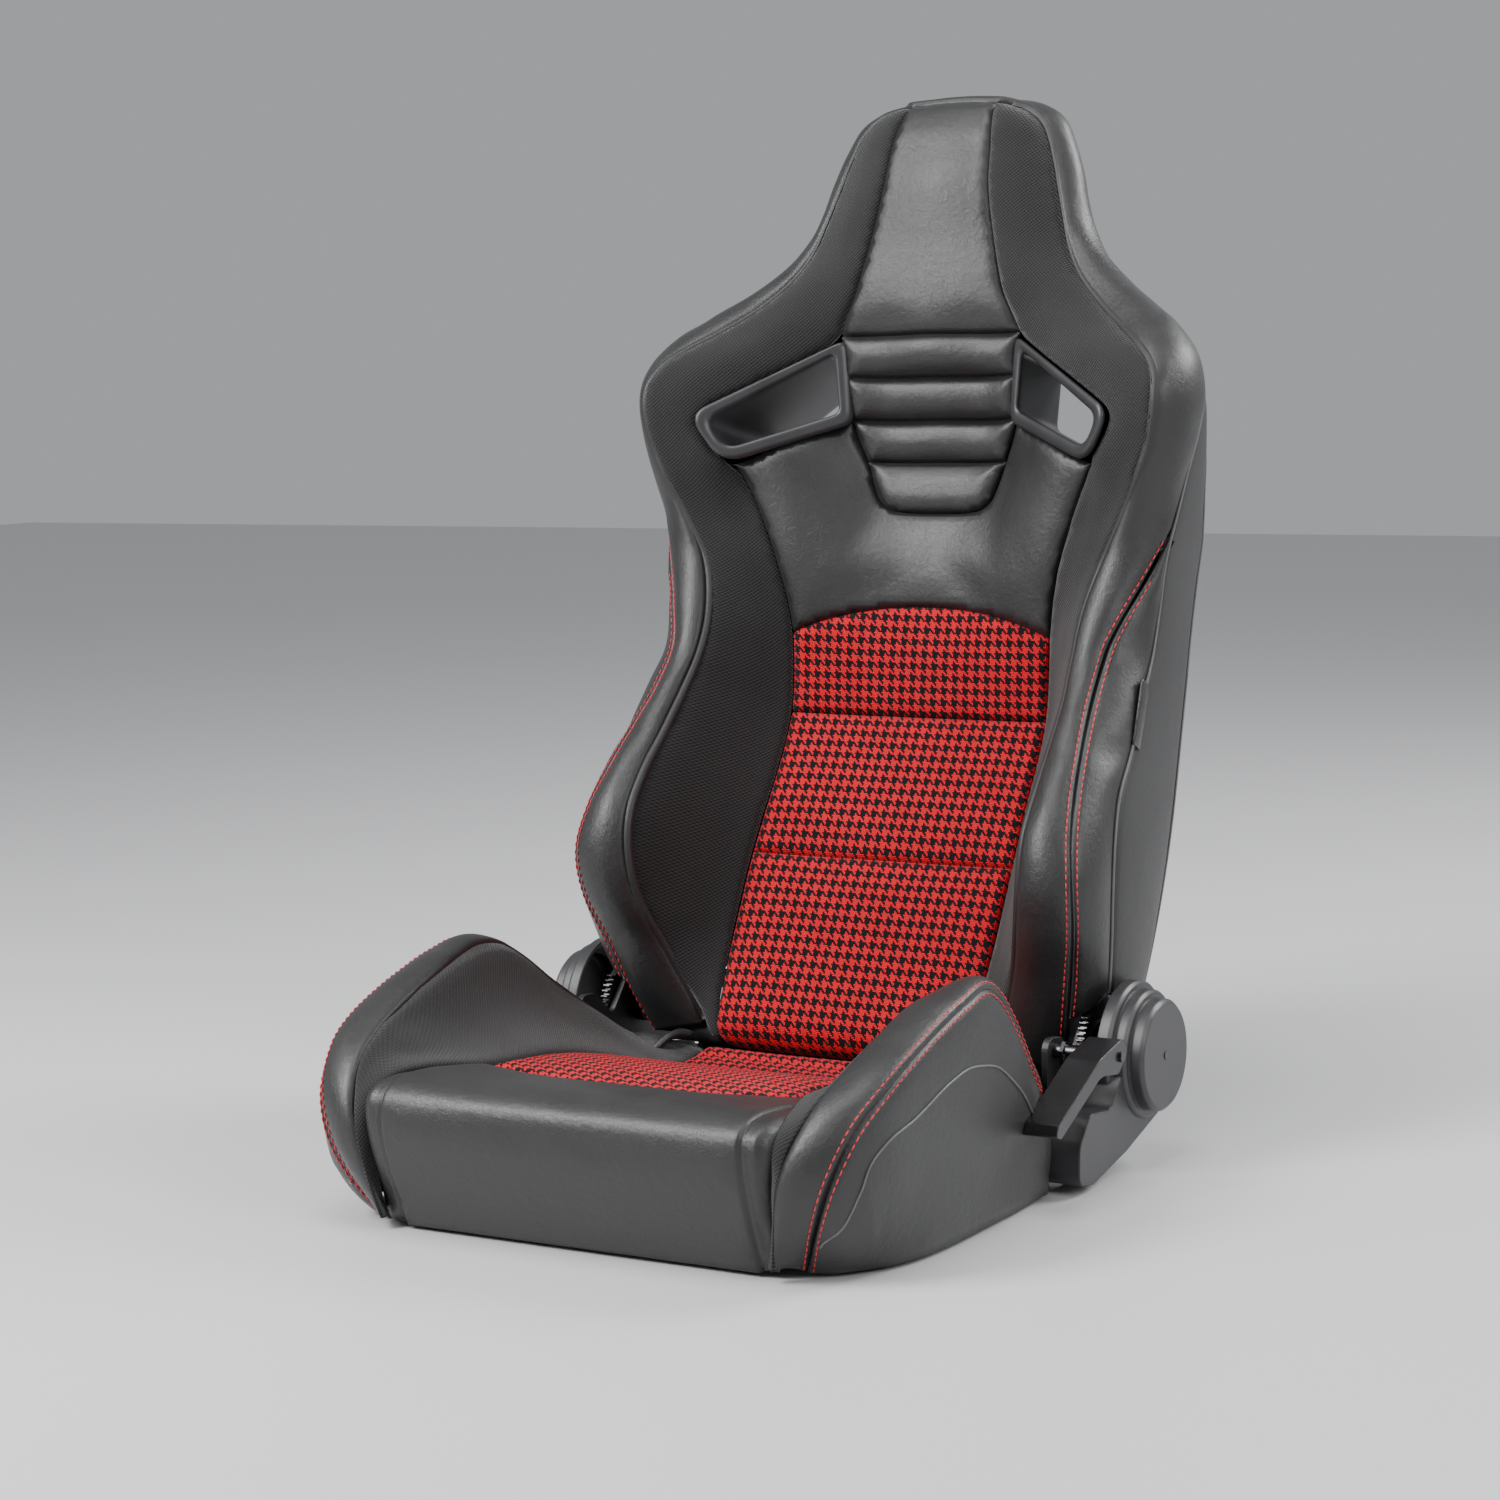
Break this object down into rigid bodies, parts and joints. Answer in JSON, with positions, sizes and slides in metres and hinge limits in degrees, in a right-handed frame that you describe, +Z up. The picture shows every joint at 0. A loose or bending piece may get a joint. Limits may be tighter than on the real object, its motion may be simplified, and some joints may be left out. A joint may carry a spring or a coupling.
{
  "type": "racing seat",
  "caption": "Reclining sport bucket seat on a bolt-down base frame, with integral head restraint, harness slots and a side release lever.",
  "frame": {"origin": "centre of the rectangle of four mounting bolt holes, on the underside of the base rails", "axes": "+Z up, out of the mounting plane; the occupant faces -Y; +X is towards the occupant's left, the side with the release lever"},
  "size_m": [0.5996, 0.7644, 0.9265],
  "materials": {
    "black_leather": "satin",
    "houndstooth_fabric": "matte",
    "black_mesh": "matte",
    "powder_steel": "satin",
    "gloss_steel": "gloss",
    "zinc_steel": "satin",
    "spring_steel": "satin",
    "bronze_bush": "satin",
    "black_plastic": "satin",
    "lever_plastic": "satin",
    "cable_sheath": "matte"
  },
  "bodies": {
    "base": {"base_rail_left": "powder_steel", "base_rail_right": "powder_steel", "front_cross_tube": "powder_steel", "rear_cross_tube": "powder_steel", "cushion_springs": "spring_steel", "spring_clips": "zinc_steel", "weld_nuts": "zinc_steel", "recliner_plate_left": "powder_steel", "recliner_plate_right": "powder_steel", "plate_bolts": "zinc_steel", "hinge_pin_left": "zinc_steel", "hinge_pin_right": "zinc_steel", "pawl_pins": "zinc_steel", "assist_spring_left": "spring_steel", "assist_spring_right": "spring_steel", "recliner_cover_left": "black_plastic", "recliner_cover_right": "black_plastic", "cover_screws": "zinc_steel", "release_cable": "cable_sheath", "cushion_front_pad": "black_leather", "cushion_centre_pad": "houndstooth_fabric", "cushion_bolster_left": "black_leather", "cushion_bolster_right": "black_leather"},
    "backrest": {"recliner_arm_left": "gloss_steel", "recliner_arm_right": "gloss_steel", "hinge_bush_left": "bronze_bush", "hinge_bush_right": "bronze_bush", "arm_bolts": "zinc_steel", "back_frame_side_left": "powder_steel", "back_frame_side_right": "powder_steel", "back_frame_hoop": "powder_steel", "back_lower_tube": "powder_steel", "back_upper_tube": "powder_steel", "back_springs": "spring_steel", "back_centre_pad": "houndstooth_fabric", "back_bolster_left": "black_leather", "back_bolster_right": "black_leather", "upper_back_pad": "black_leather", "shoulder_pad_left": "black_mesh", "shoulder_pad_right": "black_mesh", "headrest_pad": "black_mesh", "harness_bezel_left": "black_plastic", "harness_bezel_right": "black_plastic", "side_cover_left": "black_leather", "side_cover_right": "black_leather", "rear_cover": "black_leather", "side_tab": "black_mesh"},
    "lever": {"release_lever": "lever_plastic", "lever_shaft": "zinc_steel", "lever_screw": "zinc_steel"},
    "pawl_left": {"pawl_left": "zinc_steel"},
    "pawl_right": {"pawl_right": "zinc_steel"}
  },
  "joints": [
    {"name": "recline", "type": "hinge", "parent": "base", "child": "backrest", "pos_m": [0, 0.24, 0.095], "axis": [-1, 0, 0], "range_deg": [-35, 50]},
    {"name": "release_lever_pull", "type": "hinge", "parent": "base", "child": "lever", "pos_m": [0.27, 0.154, 0.11], "axis": [-1, 0, 0], "range_deg": [0, 24], "stiffness_Nm_per_rad": 1.2, "springref_deg": -17.19},
    {"name": "pawl_left_swing", "type": "hinge", "parent": "base", "child": "pawl_left", "pos_m": [0.24, 0.206, 0.036], "axis": [1, 0, 0], "range_deg": [0, 15]},
    {"name": "pawl_right_swing", "type": "hinge", "parent": "base", "child": "pawl_right", "pos_m": [-0.24, 0.206, 0.036], "axis": [1, 0, 0], "range_deg": [0, 15]}
  ],
  "couplings": [
    {"joint": "pawl_left_swing", "follows": "release_lever_pull", "ratio": 0.6},
    {"joint": "pawl_right_swing", "follows": "release_lever_pull", "ratio": 0.6}
  ]
}
